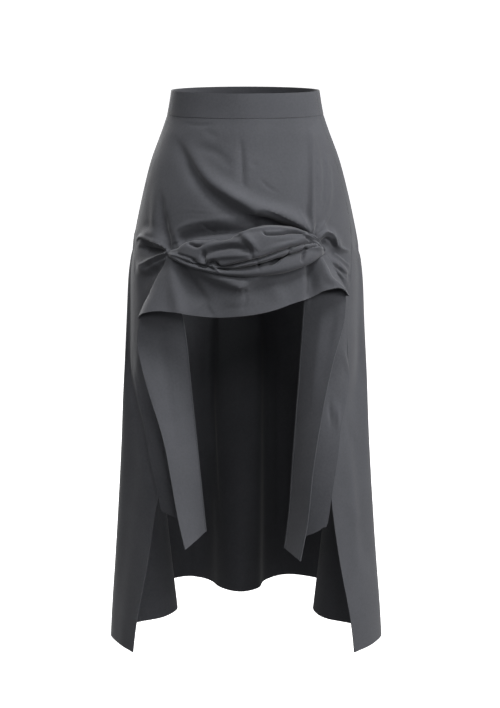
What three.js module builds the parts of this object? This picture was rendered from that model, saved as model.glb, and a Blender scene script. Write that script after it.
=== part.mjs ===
// High-low skirt with a caught-up front and a long fluted back, hollow as when it is worn.
// Millimetres, +Z up, the front faces -Y. The origin is the middle of the waistband.
import * as THREE from 'three';

// Driving sizes
const CLOTH = 1.4;
const BAND_CLOTH = 2.4;
const SEAM_GAP = 0.3;
const BAND_TOP = 20;
const BAND_FOOT = -21;
const PANEL_TOP = BAND_FOOT - SEAM_GAP;
const APRON_CUT = -300;
const SLIT_TOP = -457.5;
const SEAM_FADE = 7;
const LIFT_FADE = 14;
const SLIT_EASE = 45;

// Flutes of the back: where they start and how they open towards the hem
const FLUTE_START = -130;
const FLUTE_FOOT = -920;
const FLUTE_RISE = 1.1;
const WING_START = -470;
const WING_RISE = 1.4;
const SIDE_TURN = 70;
const TIP_TURN = 136;

// Cells of each sheet
const BAND_ROWS = 3;
const FRONT_BAND_COLUMNS = 34;
const BACK_BAND_COLUMNS = 40;
const HIP_ROWS = 24;
const SEWN_ROWS = 6;
const LOOSE_ROWS = 6;
const PORTION_COLUMNS = 12;
const CENTRE_COLUMNS = 18;
const SWAG_COLUMNS = 36;
const APRON_ROWS = 7;
const CASCADE_ROWS = 11;
const APRON_COLUMNS = 32;
const CASCADE_COLUMNS = 6;
const TURN_CELLS = 4;
const BACK_HIP_ROWS = 8;
const BACK_ROWS = 20;
const BACK_COLUMNS = 68;

// Figure that fills the skirt: half width, and depth to the front and to the back
const SECTIONS = [
  { z: 20, half: 126, front: 92, back: 94 },
  { z: -22, half: 133.5, front: 99, back: 102 },
  { z: -48, half: 142.5, front: 108, back: 112 },
  { z: -66, half: 149.5, front: 114, back: 120 },
  { z: -100, half: 162, front: 126, back: 134 },
  { z: -135, half: 171.5, front: 137, back: 147 },
  { z: -170, half: 179, front: 146, back: 158 },
  { z: -240, half: 191.5, front: 159, back: 172 },
  { z: -310, half: 199.5, front: 166, back: 180 },
  { z: -380, half: 201, front: 170, back: 184 },
  { z: -450, half: 204, front: 173, back: 187 },
  { z: -525, half: 208, front: 176, back: 190 },
  { z: -615, half: 212, front: 180, back: 192 },
  { z: -705, half: 216, front: 184, back: 194 },
  { z: -800, half: 220, front: 188, back: 196 },
  { z: -940, half: 228, front: 194, back: 198 },
];

// Side edges of the front panel: sewn down to the slit tops, free below, and its inner folds.
// Angles are in degrees about the figure, from the middle of the front, towards +X.
const FRONT_EDGES = [
  { z: -21, left: -77, right: 72 },
  { z: -100, left: -78, right: 71.5 },
  { z: -200, left: -79, right: 75 },
  { z: -250, left: -78.5, right: 70 },
  { z: -295, left: -73, right: 64.5 },
  { z: -350, left: -71, right: 60.5 },
  { z: -420, left: -70.5, right: 59.5 },
  { z: -458, left: -71.5, right: 59.5 },
  { z: -480, left: -65, right: 57.5 },
  { z: -515, left: -55, right: 50.5 },
  { z: -593, left: -46, right: 44 },
  { z: -680, left: -37.5, right: 37.5 },
  { z: -740, left: -34, right: 34 },
];
const INNER_FOLDS = [
  { z: -21, left: -36, right: 32 },
  { z: -244, left: -37, right: 35 },
  { z: -300, left: -35.6, right: 33.4 },
  { z: -343, left: -33.7, right: 30.8 },
  { z: -386, left: -32.4, right: 30.6 },
  { z: -426, left: -31.5, right: 29.9 },
  { z: -522, left: -27.9, right: 27.3 },
  { z: -656, left: -22.7, right: 23.5 },
  { z: -734, left: -20.6, right: 20.9 },
];

// How far the loose side portions of the front stand off the figure at their free edges and at
// the inner folds, where they sink in behind the cascades
const PORTION_LIFT = [
  { z: -305, edge: 0, fold: 0 },
  { z: -346, edge: 0.8, fold: -5 },
  { z: -380, edge: 2.6, fold: -11.5 },
  { z: -450, edge: 6, fold: -19.5 },
  { z: -520, edge: 11, fold: -20 },
  { z: -600, edge: 18, fold: -17 },
  { z: -740, edge: 27, fold: -12 },
];

// Hems of the side portions, from the free edge (share 0) to the inner fold (share 1)
const PORTION_HEMS = [
  { share: 0, left: -678, right: -702 },
  { share: 0.15, left: -687, right: -712 },
  { share: 0.4, left: -694, right: -721 },
  { share: 1, left: -706, right: -733 },
];

// Soft folds of the hips. A path is angle and level, start and end are shares of the height.
const HIP_FOLDS = [
  { name: 'long diagonal ridge', height: 9, width: 11, start: 0.1, end: 0.9,
    path: [[-38, -69], [-22, -117], [-6, -146], [8, -168], [24, -182], [31, -197]] },
  { name: 'hollow under it', height: -6, width: 13, start: 0, end: 1.1,
    path: [[-52, -58], [-34, -106], [-20, -144], [-8, -169], [8, -181], [24, -198]] },
  { name: 'short middle crease', height: -2, width: 4, start: 0.2, end: 0.5,
    path: [[-2.8, -56], [-1.2, -124]] },
  { name: 'left upright hollow', height: -5, width: 7, start: 0, end: 1,
    path: [[-53, -140], [-47, -205], [-42, -240]] },
  { name: 'left upright ridge', height: 4, width: 12, start: 0, end: 0.8,
    path: [[-62, -130], [-55, -210], [-50, -228]] },
  { name: 'right upright ridge', height: 5, width: 9, start: 0.2, end: 0.7,
    path: [[53, -40], [46, -130], [38, -203]] },
  { name: 'outer upright ridge', height: 4, width: 7, start: 0, end: 0.7,
    path: [[62, -80], [54, -145], [43, -204]] },
  { name: 'left upper pucker', height: 6, width: 6, start: 0.9, end: 0.5,
    path: [[-43, -239], [-52, -225], [-62, -220], [-70, -226]] },
  { name: 'left pucker hollow', height: -5, width: 6, start: 1, end: 0.4,
    path: [[-44, -246], [-55, -240], [-66, -244]] },
  { name: 'left lower pucker', height: 6, width: 7, start: 0.8, end: 0.6,
    path: [[-44, -251], [-54, -268], [-67, -277]] },
  { name: 'left under hollow', height: -5, width: 9, start: 0.8, end: 0.2,
    path: [[-45, -262], [-55, -290], [-66, -305]] },
  { name: 'right upper pucker', height: 7, width: 6, start: 0.9, end: 0.7,
    path: [[38, -216], [45, -211], [52, -222], [57, -238]] },
  { name: 'right pucker hollow', height: -5, width: 5, start: 1, end: 0.3,
    path: [[41, -228], [48, -236], [54, -246]] },
  { name: 'right lower pucker', height: 6, width: 7, start: 0.8, end: 0.6,
    path: [[47, -262], [54, -272], [61, -288]] },
  { name: 'right under hollow', height: -4, width: 7, start: 0.8, end: 0.3,
    path: [[46, -246], [53, -256], [62, -264]] },
];

// The swag of two rolls between the pinches: levels of its edges and how far each roll swells
const SWAG_ENDS = { left: -41.6, rightTop: 36.4, rightFoot: 44 };
const SWAG = [
  { share: 0, top: -241, crease: -245, foot: -250, upper: 2.6, lower: 2.6 },
  { share: 0.07, top: -236, crease: -247, foot: -254, upper: 6, lower: 5 },
  { share: 0.14, top: -225, crease: -251, foot: -259, upper: 12, lower: 9 },
  { share: 0.22, top: -220, crease: -256, foot: -265, upper: 16, lower: 12 },
  { share: 0.38, top: -219, crease: -262, foot: -273, upper: 20, lower: 15 },
  { share: 0.48, top: -212, crease: -259, foot: -275, upper: 24, lower: 17 },
  { share: 0.56, top: -199, crease: -254, foot: -274, upper: 26, lower: 18 },
  { share: 0.68, top: -194, crease: -245, foot: -270, upper: 24, lower: 19 },
  { share: 0.82, top: -197, crease: -234, foot: -260, upper: 19, lower: 16 },
  { share: 0.93, top: -205, crease: -228, foot: -249, upper: 11, lower: 10 },
  { share: 1, top: -212, crease: -226, foot: -245, upper: 4, lower: 4 },
];
// Section through the rolls: drop is a share of the roll's height and swell of its swelling
const ROLL_SECTION = [
  { roll: 'upper', drop: 0.07, swell: 0 },
  { roll: 'upper', drop: 0, swell: 0.3 },
  { roll: 'upper', drop: 0.05, swell: 0.66 },
  { roll: 'upper', drop: 0.22, swell: 0.92 },
  { roll: 'upper', drop: 0.48, swell: 1 },
  { roll: 'upper', drop: 0.76, swell: 0.96 },
  { roll: 'upper', drop: 0.95, swell: 0.8 },
  { roll: 'upper', drop: 1, swell: 0.55 },
  { roll: 'upper', drop: 0.99, swell: 0.34 },
  { roll: 'lower', drop: 0.14, swell: 0.3 },
  { roll: 'lower', drop: 0.2, swell: 0.62 },
  { roll: 'lower', drop: 0.45, swell: 0.92 },
  { roll: 'lower', drop: 0.75, swell: 1 },
  { roll: 'lower', drop: 0.97, swell: 0.8 },
  { roll: 'lower', drop: 1, swell: 0.5 },
];
const SWAG_SEAT = 2.7;
const SWAG_EASE = 0.14;
const FOOT_ROOM = 6;
const FOOT_EASE = 0.06;

// Apron under the swag: its upper edge, hidden by the lower roll, and its hem
const APRON = [
  { share: 0, top: -253.5, topOut: 3.2, hem: -350, out: 37 },
  { share: 0.05, top: -253.5, topOut: 3.6, hem: -341, out: 42 },
  { share: 0.13, top: -257, topOut: 3.6, hem: -336, out: 38 },
  { share: 0.25, top: -261, topOut: 4, hem: -341, out: 24 },
  { share: 0.38, top: -262, topOut: 5, hem: -344, out: 18 },
  { share: 0.5, top: -264, topOut: 5, hem: -341, out: 20 },
  { share: 0.62, top: -261, topOut: 5, hem: -334, out: 21 },
  { share: 0.74, top: -251, topOut: 5, hem: -323, out: 15 },
  { share: 0.82, top: -244, topOut: 5, hem: -315, out: 18 },
  { share: 0.88, top: -243, topOut: 4.4, hem: -302, out: 32 },
  { share: 0.94, top: -246, topOut: 3.8, hem: -298, out: 42 },
  { share: 1, top: -249, topOut: 3.2, hem: -312, out: 42 },
];

// Cascades beside the apron, from the pinch (step 0) past the apron's hem (step 1) to the foot.
// Each station gives the inner fold and the outer edge: angle, level and distance out.
const LEFT_CASCADE = [
  { step: 0, fold: -39.8, foldZ: -254, foldOut: 3.6, edge: -41.4, edgeZ: -252, edgeOut: 3.8 },
  { step: 0.5, fold: -35.5, foldZ: -300.8, foldOut: 4.6, edge: -46.2, edgeZ: -305, edgeOut: 22.3 },
  { step: 1, fold: -32.6, foldZ: -347, foldOut: -0.5, edge: -49.1, edgeZ: -355, edgeOut: 36 },
  { step: 1.5, fold: -31.4, foldZ: -389, foldOut: -7.5, edge: -48.6, edgeZ: -396, edgeOut: 40 },
  { step: 2, fold: -30.5, foldZ: -431, foldOut: -12.8, edge: -43.9, edgeZ: -437, edgeOut: 41 },
  { step: 3, fold: -27.1, foldZ: -519, foldOut: -14.8, edge: -35.3, edgeZ: -534, edgeOut: 40 },
  { step: 4, fold: -23.6, foldZ: -601, foldOut: -12.5, edge: -30.4, edgeZ: -617, edgeOut: 41 },
  { step: 5, fold: -21, foldZ: -666, foldOut: -10, edge: -27, edgeZ: -679, edgeOut: 43 },
  { step: 6, fold: -19, foldZ: -717, foldOut: -8, edge: -23.3, edgeZ: -736, edgeOut: 45 },
];
const RIGHT_CASCADE = [
  { step: 0, fold: 41.8, foldZ: -251, foldOut: 3.6, edge: 43.8, edgeZ: -249, edgeOut: 3.8 },
  { step: 0.5, fold: 34.8, foldZ: -286.5, foldOut: 4.6, edge: 45.2, edgeZ: -279.8, edgeOut: 23.8 },
  { step: 1, fold: 29.9, foldZ: -325, foldOut: 2.5, edge: 46, edgeZ: -314, edgeOut: 38 },
  { step: 1.6, fold: 29.6, foldZ: -389, foldOut: -6, edge: 43.1, edgeZ: -373, edgeOut: 42 },
  { step: 2, fold: 29, foldZ: -424, foldOut: -9, edge: 38.3, edgeZ: -414, edgeOut: 43 },
  { step: 3, fold: 26.3, foldZ: -518, foldOut: -11, edge: 31.7, edgeZ: -513, edgeOut: 42 },
  { step: 4, fold: 23.5, foldZ: -608, foldOut: -9, edge: 27.2, edgeZ: -606, edgeOut: 43 },
  { step: 5, fold: 21.5, foldZ: -682, foldOut: -7, edge: 24.6, edgeZ: -685, edgeOut: 45 },
  { step: 6, fold: 18.6, foldZ: -745, foldOut: -5, edge: 21.1, edgeZ: -754, edgeOut: 47 },
];
const PANEL_CLEARANCE = 2.4;
const APRON_RISE = 1.3;
const APRON_SEAT = 2.4;
const LEAST_SEAT = 2;
const PINCH_TURN = 2.3;
const FOLD_SWELL = 0.4;

// Free front edges of the back panel's wings
const WING_EDGES = [
  { z: -405, left: -70.5, right: 59.5, out: 0 },
  { z: -458, left: -71.5, right: 59.5, out: -2.5 },
  { z: -490, left: -59, right: 53, out: -4 },
  { z: -530, left: -48, right: 46, out: -3 },
  { z: -580, left: -42, right: 41, out: -2 },
  { z: -680, left: -37.5, right: 36.5, out: 0 },
  { z: -780, left: -37, right: 35.5, out: 0 },
  { z: -930, left: -42, right: 42, out: 0 },
];

// Hem of the back panel seen from above, and the turn about the figure that each part hangs from
const BACK_HEM = [
  { name: 'left tip', turn: -136, x: -193, y: -174, z: -930 },
  { name: 'left wing', turn: -120, x: -219, y: -134, z: -928 },
  { name: 'left side', turn: -106, x: -236, y: -80, z: -926 },
  { name: 'left valley mouth', turn: -92, x: -197, y: -28, z: -925 },
  { name: 'left valley', turn: -80, x: -146, y: 5, z: -924 },
  { name: 'left valley foot', turn: -68, x: -125, y: 63, z: -923 },
  { name: 'left lobe', turn: -50, x: -196, y: 158, z: -921 },
  { name: 'left crest side', turn: -34, x: -140, y: 222, z: -919 },
  { name: 'left crest', turn: -24, x: -104, y: 238, z: -919 },
  { name: 'left crest inside', turn: -17, x: -68, y: 212, z: -919 },
  { name: 'middle left', turn: -12, x: -46, y: 164, z: -919 },
  { name: 'middle valley', turn: -3, x: -11, y: 138, z: -919 },
  { name: 'middle right', turn: 6, x: 22, y: 160, z: -919 },
  { name: 'right crest inside', turn: 11, x: 36, y: 212, z: -919 },
  { name: 'right crest', turn: 20, x: 76, y: 250, z: -919 },
  { name: 'right crest side', turn: 32, x: 134, y: 228, z: -919 },
  { name: 'right lobe', turn: 50, x: 198, y: 158, z: -921 },
  { name: 'right valley foot', turn: 67, x: 125, y: 66, z: -923 },
  { name: 'right valley', turn: 80, x: 140, y: 0, z: -924 },
  { name: 'right valley mouth', turn: 92, x: 190, y: -32, z: -925 },
  { name: 'right side', turn: 106, x: 238, y: -76, z: -926 },
  { name: 'right wing', turn: 120, x: 222, y: -132, z: -928 },
  { name: 'right tip', turn: 136, x: 187, y: -175, z: -930 },
];

const CHARCOAL = { color: 0x5a5b5e, roughness: 0.86, metalness: 0 };

// Smooth value of a table's column at a place along another of its columns
function read(table, by, at, column) {
  const last = table.length - 1;
  const way = Math.sign(table[last][by] - table[0][by]);
  const place = THREE.MathUtils.clamp(way * at, way * table[0][by], way * table[last][by]);
  let row = 0;
  while (row < last - 1 && way * table[row + 1][by] < place) row += 1;
  const slope = (n) => (table[n + 1][column] - table[n][column]) / (way * (table[n + 1][by] - table[n][by]));
  const tangent = (n) => {
    if (n === 0) return slope(0);
    if (n === last) return slope(last - 1);
    const product = slope(n - 1) * slope(n);
    return product > 0 ? 2 * product / (slope(n - 1) + slope(n)) : 0;
  };
  const length = way * (table[row + 1][by] - table[row][by]);
  const t = (place - way * table[row][by]) / length;
  const rise = (2 * t - 3) * t * t;
  return (1 + rise) * table[row][column] - rise * table[row + 1][column]
    + (t - 1) * t * length * ((t - 1) * tangent(row) + t * tangent(row + 1));
}

// Point on the figure at an angle and level, moved straight out from it
function onFigure(angle, z, out) {
  const turn = THREE.MathUtils.degToRad(angle);
  const half = read(SECTIONS, 'z', z, 'half');
  const depth = read(SECTIONS, 'z', z, Math.cos(turn) > 0 ? 'front' : 'back');
  const normal = new THREE.Vector2(Math.sin(turn) / half, -Math.cos(turn) / depth).normalize();
  const x = half * Math.sin(turn) + out * normal.x;
  const y = -depth * Math.cos(turn) + out * normal.y;
  return new THREE.Vector3(x, y, z);
}

// Closed wall of even thickness about a grid of points; cloth(row, column) tells its cells.
// Rows run down and columns towards +X on the front, so that the outer side is the first one.
function wall(name, points, thickness, cloth = () => true) {
  const rows = points.length;
  const columns = points[0].length;
  const at = (row, column) => row * columns + column;
  const inside = (row, column) => row >= 0 && row < rows - 1 && column >= 0 && column < columns - 1;
  const filled = (row, column) => inside(row, column) && cloth(row, column);
  const normals = points.map((row) => row.map(() => new THREE.Vector3()));
  const faces = [];
  const rims = [];
  for (let r = 0; r < rows - 1; r += 1) {
    for (let c = 0; c < columns - 1; c += 1) {
      if (!filled(r, c)) continue;
      const down = points[r + 1][c + 1].clone().sub(points[r][c]);
      const across = points[r][c + 1].clone().sub(points[r + 1][c]);
      const normal = down.cross(across);
      for (const [row, column] of [[r, c], [r, c + 1], [r + 1, c], [r + 1, c + 1]]) {
        normals[row][column].add(normal);
      }
      const [a, b, d, e] = [at(r, c), at(r, c + 1), at(r + 1, c), at(r + 1, c + 1)];
      faces.push([a, d, e], [a, e, b]);
      if (!filled(r, c - 1)) rims.push([a, d]);
      if (!filled(r + 1, c)) rims.push([d, e]);
      if (!filled(r, c + 1)) rims.push([e, b]);
      if (!filled(r - 1, c)) rims.push([b, a]);
    }
  }
  const used = new Map();
  const position = [];
  const vertex = (index, side) => {
    const key = index * 2 + side;
    if (!used.has(key)) {
      const row = Math.floor(index / columns);
      const normal = normals[row][index % columns].clone().normalize();
      const point = points[row][index % columns].clone();
      point.addScaledVector(normal, side ? -thickness / 2 : thickness / 2);
      used.set(key, position.length / 3);
      position.push(point.x, point.y, point.z);
    }
    return used.get(key);
  };
  const index = [];
  for (const [a, b, c] of faces) {
    index.push(vertex(a, 0), vertex(b, 0), vertex(c, 0));
    index.push(vertex(a, 1), vertex(c, 1), vertex(b, 1));
  }
  for (const [from, to] of rims) {
    index.push(vertex(to, 0), vertex(from, 0), vertex(from, 1));
    index.push(vertex(to, 0), vertex(from, 1), vertex(to, 1));
  }
  const geometry = new THREE.BufferGeometry();
  geometry.setAttribute('position', new THREE.Float32BufferAttribute(position, 3));
  geometry.setIndex(index);
  geometry.computeVertexNormals();
  const mesh = new THREE.Mesh(geometry, new THREE.MeshStandardMaterial(CHARCOAL));
  mesh.name = name;
  return mesh;
}

// Grid of points from a function of the row and column number
function grid(rows, columns, point) {
  const line = (row) => Array.from({ length: columns + 1 }, (_, column) => point(row, column));
  return Array.from({ length: rows + 1 }, (_, row) => line(row));
}

const mix = THREE.MathUtils.lerp;
const ease = (t) => THREE.MathUtils.smoothstep(t, 0, 1);

// Angle by which a seam is drawn back, so that the walls sewn there are a seam gap apart
function seamAngle(z) {
  return THREE.MathUtils.radToDeg(SEAM_GAP / 2 / read(SECTIONS, 'z', z, 'front'));
}

// Level of a row of the back panel, whose lower rows end at the hem
function backLevel(row, hem) {
  if (row <= BACK_HIP_ROWS) return mix(PANEL_TOP, APRON_CUT, row / BACK_HIP_ROWS);
  return mix(APRON_CUT, hem, (row - BACK_HIP_ROWS) / (BACK_ROWS - BACK_HIP_ROWS));
}

// Point on a side seam, straight between the rows of the back panel, drawn back to the front
function seamPoint(side, z) {
  let row = 0;
  while (backLevel(row + 1, BACK_HEM[0].z) > z) row += 1;
  const [upper, lower] = [row, row + 1].map((n) => {
    const level = backLevel(n, BACK_HEM[0].z);
    const edge = read(FRONT_EDGES, 'z', level, side);
    return onFigure(edge - Math.sign(edge) * seamAngle(level), level, 0);
  });
  return upper.lerp(lower, (upper.z - z) / (upper.z - lower.z));
}

// Half of the waistband between two side seams
function waistband(name, from, to, columns) {
  const points = grid(BAND_ROWS, columns, (row, column) => {
    const z = mix(BAND_TOP, BAND_FOOT, row / BAND_ROWS);
    const gap = seamAngle(z);
    return onFigure(mix(from + gap, to - gap, column / columns), z, 0);
  });
  return wall(name, points, BAND_CLOTH);
}

// Distance out that the hip folds add at an angle and level of the front panel
function hipFolds(angle, z) {
  const radius = THREE.MathUtils.degToRad(read(SECTIONS, 'z', z, 'front') + 12);
  const here = new THREE.Vector2(angle * radius, z);
  const fromLeft = angle - read(FRONT_EDGES, 'z', z, 'left');
  const fromRight = read(FRONT_EDGES, 'z', z, 'right') - angle;
  let out = 0;
  for (const fold of HIP_FOLDS) {
    let best = Infinity;
    let share = 0;
    for (let n = 0; n < fold.path.length - 1; n += 1) {
      const start = new THREE.Vector2(fold.path[n][0] * radius, fold.path[n][1]);
      const along = new THREE.Vector2(fold.path[n + 1][0] * radius, fold.path[n + 1][1]).sub(start);
      const t = THREE.MathUtils.clamp(here.clone().sub(start).dot(along) / along.lengthSq(), 0, 1);
      const distance = here.distanceTo(start.addScaledVector(along, t));
      if (distance < best) {
        best = distance;
        share = (n + t) / (fold.path.length - 1);
      }
    }
    const swell = fold.start * (1 - share) ** 2 + 3 * share * (1 - share) + fold.end * share ** 2;
    out += fold.height * swell * Math.exp(-((best / fold.width) ** 2));
  }
  return out * ease(Math.min(fromLeft, fromRight) / SEAM_FADE);
}

// Front panel: hips down to the cut behind the apron, and a long portion down each side
function frontPanel() {
  const columns = 2 * PORTION_COLUMNS + CENTRE_COLUMNS;
  const rightStart = PORTION_COLUMNS + CENTRE_COLUMNS;
  const spread = (column) => {
    if (column <= PORTION_COLUMNS) return { side: 'left', share: column / PORTION_COLUMNS };
    if (column >= rightStart) return { side: 'right', share: (columns - column) / PORTION_COLUMNS };
    return { side: 'centre', share: (column - PORTION_COLUMNS) / CENTRE_COLUMNS };
  };
  const level = (row, side, share) => {
    if (row <= HIP_ROWS) return mix(PANEL_TOP, APRON_CUT, row / HIP_ROWS);
    if (side === 'centre') return APRON_CUT;
    if (row <= HIP_ROWS + SEWN_ROWS) return mix(APRON_CUT, SLIT_TOP, (row - HIP_ROWS) / SEWN_ROWS);
    const loose = (row - HIP_ROWS - SEWN_ROWS) / LOOSE_ROWS;
    return mix(SLIT_TOP, read(PORTION_HEMS, 'share', share, side), loose);
  };
  const points = grid(HIP_ROWS + SEWN_ROWS + LOOSE_ROWS, columns, (row, column) => {
    const { side, share } = spread(column);
    const z = level(row, side, share);
    const fold = (name) => read(INNER_FOLDS, 'z', z, name);
    if (side === 'centre') {
      const angle = mix(fold('left'), fold('right'), share);
      return onFigure(angle, z, hipFolds(angle, z));
    }
    if (share === 0 && z >= SLIT_TOP) return seamPoint(side, z);
    const seam = read(FRONT_EDGES, 'z', z, side);
    const edge = seam - Math.sign(seam) * seamAngle(z);
    const angle = mix(edge, fold(side), share);
    const sewn = ease((z - SLIT_TOP + SLIT_EASE) / SLIT_EASE);
    const hold = sewn * (1 - ease(Math.abs(edge - angle) / LIFT_FADE));
    const lift = mix(read(PORTION_LIFT, 'z', z, 'edge'), read(PORTION_LIFT, 'z', z, 'fold'), share);
    return onFigure(angle, z, hipFolds(angle, z) + lift * (1 - hold));
  });
  const cloth = (row, column) => row < HIP_ROWS || column < PORTION_COLUMNS || column >= rightStart;
  return wall('front_panel', points, CLOTH, cloth);
}

// Swag of two rolls, flat arches at the pinches and full rolls between them
function frontSwag() {
  const last = ROLL_SECTION.length - 1;
  const points = grid(last, SWAG_COLUMNS, (row, column) => {
    const even = column / SWAG_COLUMNS;
    const share = (even + (1 - Math.cos(Math.PI * even)) / 2) / 2;
    const level = (name) => read(SWAG, 'share', share, name);
    const { roll, drop, swell } = ROLL_SECTION[row];
    const from = roll === 'upper' ? level('top') : level('crease');
    const to = roll === 'upper' ? level('crease') : level('foot');
    const full = ease(Math.min(share, 1 - share) / SWAG_EASE);
    const plainZ = mix(level('top'), level('foot'), row / last);
    const plainOut = level('upper') * Math.sin(Math.PI * row / last);
    const z = mix(plainZ, mix(from, to, drop), full);
    const out = mix(plainOut, level(roll) * swell, full);
    const down = (level('top') - z) / (level('top') - level('foot'));
    const right = mix(SWAG_ENDS.rightTop, SWAG_ENDS.rightFoot, THREE.MathUtils.clamp(down, 0, 1));
    const angle = mix(SWAG_ENDS.left, right, share);
    const foot = ease((row - last / 4) / (last / 4));
    const room = FOOT_ROOM * foot * ease(Math.min(share, 1 - share) / FOOT_EASE);
    return onFigure(angle, z, hipFolds(angle, z) + SWAG_SEAT + out + room);
  });
  return wall('front_swag', points, CLOTH);
}

// Points of a half turn between two layers at an edge; bulge is +1 or -1 towards growing angles
function turn(edge, z, inner, outer, bulge, share) {
  const radius = (outer - inner) / 2;
  const around = Math.PI * share;
  const reach = THREE.MathUtils.radToDeg(radius * Math.sin(around) / read(SECTIONS, 'z', z, 'front'));
  return { angle: edge + bulge * reach, z, out: (inner + outer) / 2 - radius * Math.cos(around) };
}

// Distance out of the apron at a share of its width and of its height
function apronOut(share, down) {
  const [top, hem] = ['topOut', 'out'].map((name) => read(APRON, 'share', share, name));
  return APRON_SEAT + mix(top, hem, down ** APRON_RISE);
}

// Distance out of a cascade's outer edge, which runs just under the apron's corner to its hem
function edgeOut(table, step) {
  if (step >= 1) return read(table, 'step', step, 'edgeOut');
  const corner = table === LEFT_CASCADE ? 0 : 1;
  const hemTurn = apronOut(corner, 1) - read(table, 'step', 1, 'edgeOut');
  return apronOut(corner, step) - mix(PINCH_TURN, hemTurn, step);
}

// One station across a cascade, from the panel behind it to its outer edge
function cascadePlace(table, step, cell) {
  const at = (name) => read(table, 'step', step, name);
  const side = Math.sign(at('edge'));
  const panel = read(PORTION_LIFT, 'z', at('foldZ'), 'fold');
  const seat = Math.max(at('foldOut') - PANEL_CLEARANCE, panel + LEAST_SEAT);
  const front = at('foldOut') + FOLD_SWELL;
  if (cell <= TURN_CELLS) return turn(at('fold'), at('foldZ'), seat, front, -side, cell / TURN_CELLS);
  const share = (cell - TURN_CELLS) / CASCADE_COLUMNS;
  return {
    angle: mix(at('fold'), at('edge'), share),
    z: mix(at('foldZ'), at('edgeZ'), share),
    out: mix(front, edgeOut(table, step), share),
  };
}

// Apron and both cascades, which turn under at the apron's sides and hang lower than its hem
function frontFlounce() {
  const reach = TURN_CELLS + CASCADE_COLUMNS;
  const side = reach + TURN_CELLS;
  const columns = 2 * side + APRON_COLUMNS;
  const place = (row, column) => {
    const fromEnd = Math.min(column, columns - column);
    const table = column <= columns / 2 ? LEFT_CASCADE : RIGHT_CASCADE;
    const lowest = table[table.length - 1].step;
    const below = (row - APRON_ROWS) / CASCADE_ROWS;
    const step = row <= APRON_ROWS ? row / APRON_ROWS : mix(1, lowest, below);
    if (fromEnd <= reach) return cascadePlace(table, step, fromEnd);
    const down = Math.min(step, 1);
    const apron = (share, name) => read(APRON, 'share', share, name);
    const edge = (rows) => read(rows, 'step', down, 'edge');
    if (fromEnd < side) {
      const corner = column <= columns / 2 ? 0 : 1;
      const z = read(table, 'step', down, 'edgeZ');
      const bulge = Math.sign(edge(table));
      const over = apronOut(corner, down);
      return turn(edge(table), z, edgeOut(table, down), over, bulge, (fromEnd - reach) / TURN_CELLS);
    }
    const share = (column - side) / APRON_COLUMNS;
    const z = mix(apron(share, 'top'), apron(share, 'hem'), down);
    return { angle: mix(edge(LEFT_CASCADE), edge(RIGHT_CASCADE), share), z, out: apronOut(share, down) };
  };
  const points = grid(APRON_ROWS + CASCADE_ROWS, columns, (row, column) => {
    const { angle, z, out } = place(row, column);
    const fade = 1 - ease(row / APRON_ROWS);
    return onFigure(angle, z, out + hipFolds(angle, z) * fade);
  });
  const cloth = (row, column) => row < APRON_ROWS || column < reach || column >= columns - reach;
  return wall('front_flounce', points, CLOTH, cloth);
}

// Long back panel: plain at the hips, opening into deep flutes, with a free wing at each side
function backPanel() {
  const stretch = 2;
  const outline = BACK_HEM.map((row) => new THREE.Vector3(row.x, row.y, row.turn * stretch));
  const hem = new THREE.CatmullRomCurve3(outline, false, 'centripetal').getSpacedPoints(BACK_COLUMNS);
  const points = grid(BACK_ROWS, BACK_COLUMNS, (row, column) => {
    const foot = hem[column];
    const hemTurn = foot.z / stretch;
    const side = Math.sign(hemTurn);
    const z = backLevel(row, read(BACK_HEM, 'turn', hemTurn, 'z'));
    const name = side < 0 ? 'left' : 'right';
    const free = z < WING_EDGES[0].z;
    const edge = Math.abs(read(free ? WING_EDGES : FRONT_EDGES, 'z', z, name));
    const edgeTurn = 180 - edge - seamAngle(z);
    const beyond = Math.max(0, Math.abs(hemTurn) - SIDE_TURN) / (TIP_TURN - SIDE_TURN);
    const turned = beyond > 0 ? side * mix(SIDE_TURN, edgeTurn, beyond) : hemTurn;
    const wing = ease((beyond - 0.35) / 0.4);
    const flute = Math.max(0, (FLUTE_START - z) / (FLUTE_START - FLUTE_FOOT)) ** FLUTE_RISE;
    const flare = Math.max(0, (WING_START - z) / (WING_START - FLUTE_FOOT)) ** WING_RISE;
    const open = Math.min(1, mix(flute, flare, wing));
    const out = free ? read(WING_EDGES, 'z', z, 'out') * wing * (1 - open) : 0;
    const point = onFigure(180 - turned, z, out);
    return point.lerp(new THREE.Vector3(foot.x, foot.y, z), open);
  });
  return wall('back_panel', points.map((row) => row.reverse()), CLOTH);
}

const skirt = new THREE.Group();
skirt.name = 'high_low_skirt';
skirt.add(waistband('waistband_front', FRONT_EDGES[0].left, FRONT_EDGES[0].right, FRONT_BAND_COLUMNS));
skirt.add(waistband('waistband_back', FRONT_EDGES[0].right, 360 + FRONT_EDGES[0].left, BACK_BAND_COLUMNS));
skirt.add(frontPanel());
skirt.add(frontSwag());
skirt.add(frontFlounce());
skirt.add(backPanel());

export default skirt;
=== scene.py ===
import math

import bmesh
import bpy
import numpy as np
from bpy.props import FloatProperty, FloatVectorProperty, IntProperty, PointerProperty
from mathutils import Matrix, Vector
from mathutils.bvhtree import BVHTree


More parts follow.
